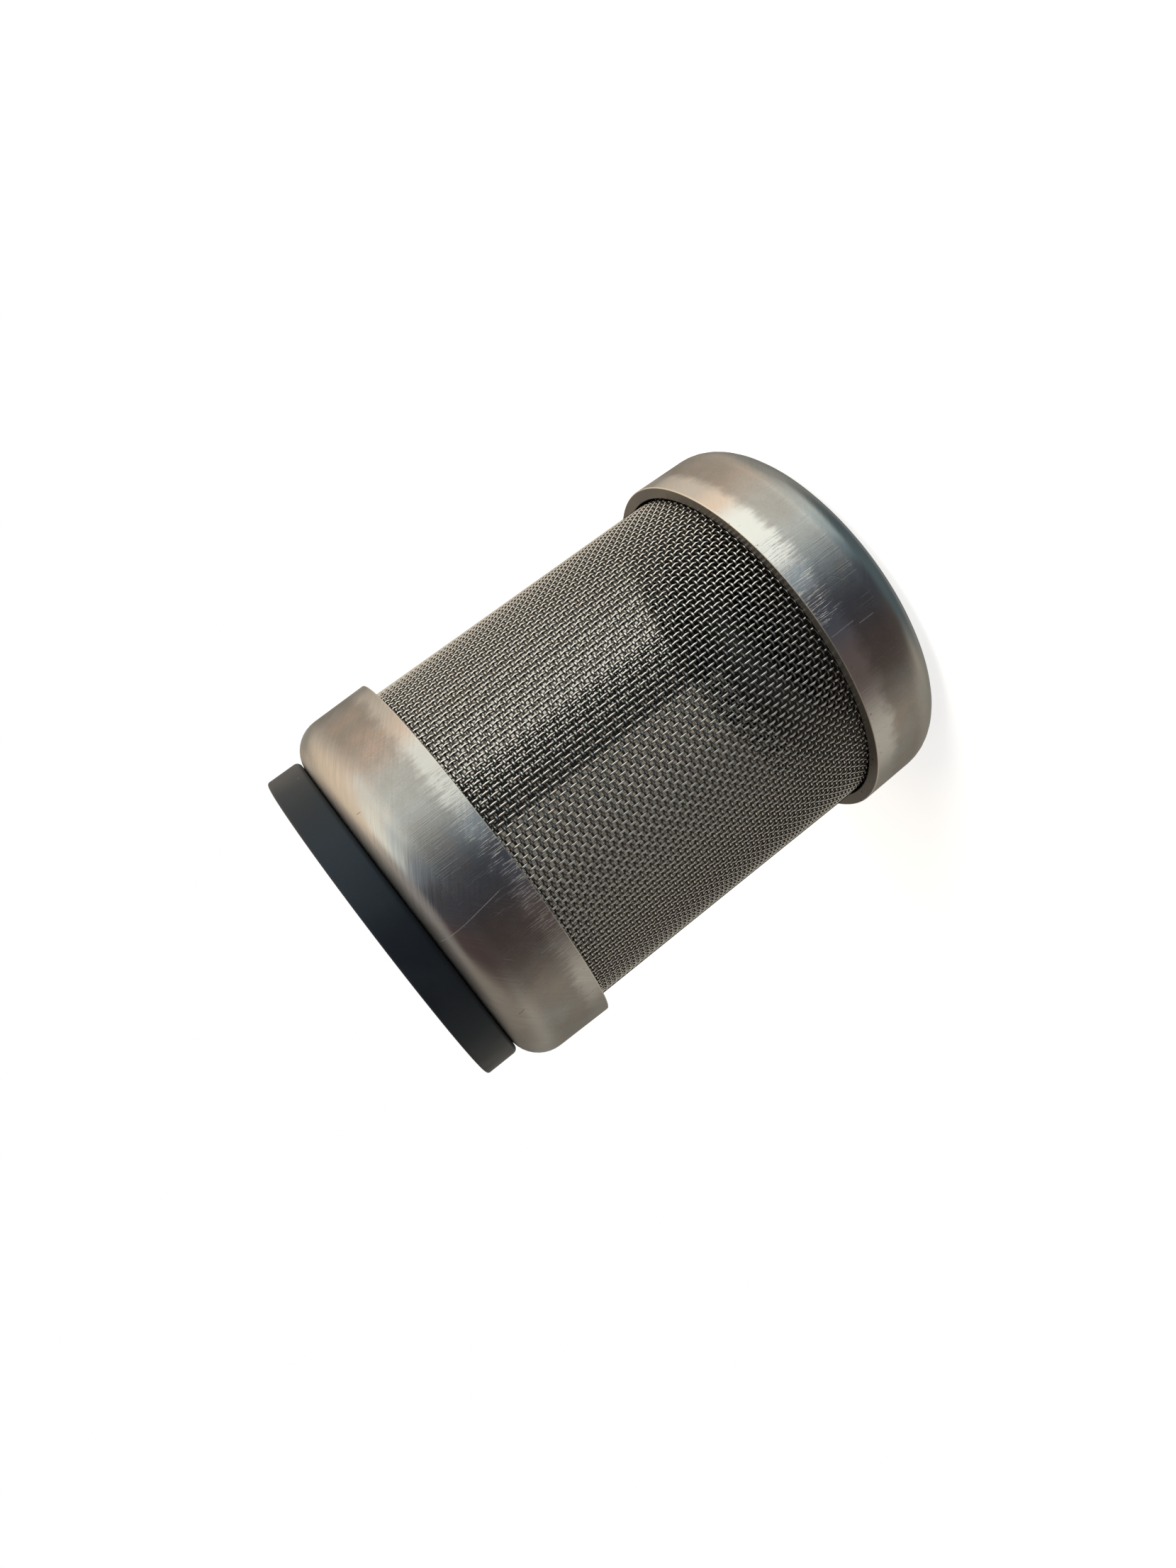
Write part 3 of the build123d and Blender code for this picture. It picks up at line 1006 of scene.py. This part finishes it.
def cloth_veil():
    """Painted shade for the ground that shows through both layers of the cloth.

    A cylinder just outside the cloth, between the cap rims, seen by the camera only. From its
    front it is clear, so the wires show as they are. From its back, where a line of sight leaves
    the filter again, it dims the white backdrop with painted shade: most on the -X side, and
    behind the lap as the painted shadow of its second layer.
    """
    low, high = cap_high.z + VEIL_GAP, OPEN_RIM - VEIL_GAP
    turn = np.arange(VEIL_SEGMENTS) * 2 * pi / VEIL_SEGMENTS
    ring = VEIL_RADIUS * np.stack([np.cos(turn), np.sin(turn)], 1)
    points = np.vstack([np.insert(ring, 2, low, 1), np.insert(ring, 2, high, 1)])
    here = np.arange(VEIL_SEGMENTS)
    beside = np.roll(here, -1)
    faces = quads(here, beside, beside + VEIL_SEGMENTS, here + VEIL_SEGMENTS)
    veil = make_mesh("cloth_veil", points, faces.ravel(), np.arange(len(faces)) * 4)
    material, n, shader = new_material("painted_ground_shade")
    n.tree.nodes.remove(shader)
    place = n.coordinates("Object")
    x, _, _ = n.split(place)
    along = n.group(UNROLLED, Position=place)["Along"]
    # Painted shade: lit towards +X, shaded towards -X, and a painted shadow behind the lap
    seen = n.painted(
        VEIL_SHADED,
        (n.ramp(x, -11 * MM, -4 * MM), VEIL_BROWN),
        (n.ramp(x, 0.0, 6 * MM), VEIL_LIT),
        (lap_stripe(n, along, 0.5, 0.4), VEIL_LAP_SHADOW),
    )
    clear = n.add("ShaderNodeBsdfTransparent")
    dim = n.feed(n.add("ShaderNodeBsdfTransparent"), Color=seen)
    back = n.add("ShaderNodeNewGeometry").outputs["Backfacing"]
    either = n.add("ShaderNodeMixShader")
    n.fill(either.inputs, back, clear.outputs[0], dim.outputs[0])
    n.feed(n.tree.nodes["Material Output"], Surface=either.outputs[0])
    veil.data.materials.append(material)
    veil.visible_diffuse = False
    veil.visible_glossy = False
    veil.visible_transmission = False
    veil.visible_shadow = False


# What the metal mirrors, as soft upright panels round the object: the middle's angle from the
# front towards +X, the half width and the softness of both edges in degrees, then the colours
# above, at the object's level and below. A later panel covers an earlier one.
DARK_GROUND = [(0.10, 0.07, 0.065), (0.13, 0.10, 0.092), (0.105, 0.088, 0.08)]
STUDIO_PANELS = [
    (-12, 5, 26, (0.07, 0.07, 0.08), (0.075, 0.08, 0.10), (0.07, 0.078, 0.095)),        # dark, in front
    (-125, 30, 40, (0.31, 0.27, 0.22), (0.52, 0.48, 0.405), (0.43, 0.395, 0.33)),       # grey, at the left
    (180, 12, 26, (0.20, 0.185, 0.17), (0.35, 0.335, 0.295), (0.47, 0.48, 0.465)),      # grey, behind
    (108, 38, 15, (1.0, 0.80, 0.59), (0.87, 0.745, 0.60), (0.42, 0.41, 0.365)),         # warm, at the right
    (154, 5, 12, (0.76, 0.64, 0.49), (0.55, 0.50, 0.42), (0.40, 0.395, 0.355)),         # its dim end
    (84, 4, 14, (1.05, 0.87, 0.67), (1.12, 0.88, 0.67), (0.60, 0.58, 0.51)),            # its lit edge
    (17, 4, 14, (0.27, 0.30, 0.33), (0.34, 0.40, 0.44), (0.20, 0.285, 0.32)),           # cool, by the dark
    (51, 18, 14, (1.08, 1.04, 0.89), (1.28, 1.28, 1.15), (0.72, 0.78, 0.72)),           # the main light
    (37, 2, 12, (0.72, 0.76, 0.73), (1.22, 1.25, 1.16), (0.52, 0.64, 0.66)),            # its cool side
]
ZENITH = (0.33, 0.30, 0.28)
NADIR = (0.11, 0.145, 0.155)


def studio_room():
    """The world: white to the camera, and to everything else the dark ground and the soft panels."""
    world = bpy.data.worlds.new("studio_room")
    world.use_nodes = True
    bpy.context.scene.world = world
    n = Nodes(world.node_tree)
    x, y, z = n.split(n.coordinates("Generated"))
    turn = n.times(n.math("ARCTAN2", x, n.times(y, -1.0)), 180 / pi)
    above, level, below = DARK_GROUND
    for middle, half_width, softness, *colours in STUDIO_PANELS:
        off = n.math("ABSOLUTE", n.math("WRAP", n.minus(turn, middle), 180.0, -180.0))
        panel = n.ramp(off, half_width + softness, half_width)
        above, level, below = (
            n.mix(panel, under, colour) for under, colour in zip((above, level, below), colours))
    room = n.painted(
        level,
        (n.ramp(z, 0.08, 0.50), above),
        (n.ramp(z, 0.84, 1.0), ZENITH),
        (n.ramp(z, -0.46, -0.70), below),
        (n.ramp(z, -0.79, -0.97), NADIR),
    )
    seen = n.add("ShaderNodeLightPath").outputs["Is Camera Ray"]
    n.feed(n.tree.nodes["Background"], Color=n.mix(seen, room, (1, 1, 1)), Strength=1.0)


def soft_lamp(name, place, aim, size, power, colour, mirrored):
    """A rectangular area lamp, size wide and high. mirrored says if glossy surfaces show it."""
    data = bpy.data.lights.new(name, "AREA")
    data.shape = "RECTANGLE"
    data.size, data.size_y = size
    data.energy = power
    data.color = colour
    lamp = bpy.data.objects.new(name, data)
    bpy.context.scene.collection.objects.link(lamp)
    lamp.location = place
    lamp.rotation_euler = (Vector(aim) - Vector(place)).to_track_quat("-Z", "Y").to_euler()
    lamp.visible_glossy = mirrored
    lamp.visible_camera = False


# The camera stands level with the seal ring and is turned on its side, as the photograph was taken
CAMERA_DISTANCE = 124.5 * MM
CAMERA_HEIGHT = 56.9 * MM
LOOK = Vector((-0.01013, 0.98344, -0.18095))
PICTURE_RIGHT = Vector((-0.60429, -0.15021, -0.78249))
FOCAL_PIXELS = 1587.1
PICTURE_HEIGHT = 2212
SENSOR = 36.0


def photo_camera():
    """A pinhole camera: its focal length in pixels, its place, where it looks and how it is turned."""
    data = bpy.data.cameras.new("photo_camera")
    data.sensor_fit = "AUTO"
    data.sensor_width = SENSOR
    data.lens = FOCAL_PIXELS * SENSOR / PICTURE_HEIGHT
    data.clip_start = 0.005
    data.clip_end = 20.0
    camera = bpy.data.objects.new("photo_camera", data)
    bpy.context.scene.collection.objects.link(camera)
    back = -LOOK.normalized()
    right = (PICTURE_RIGHT - PICTURE_RIGHT.project(back)).normalized()
    up = back.cross(right)
    turn = Matrix((right, up, back)).transposed()
    camera.matrix_world = Matrix.Translation((0, -CAMERA_DISTANCE, CAMERA_HEIGHT)) @ turn.to_4x4()
    bpy.context.scene.camera = camera


studio_floor()
cloth_veil()
studio_room()
soft_lamp(
    "soft_key", place=(0.30, -0.22, 0.42), aim=(0, 0, 0.03), size=(0.30, 0.30), power=1.6,
    colour=(1.0, 0.98, 0.94), mirrored=False)
# Light that the near side of the cloth lets in, on the far side's inner face
soft_lamp(
    "inner_fill", place=(-0.002, -0.010, 0.036), aim=(0.012, 0.010, 0.036), size=(0.012, 0.036),
    power=0.0018, colour=(1.0, 0.985, 0.94), mirrored=True)
photo_camera()
bpy.context.scene.view_settings.view_transform = "Standard"
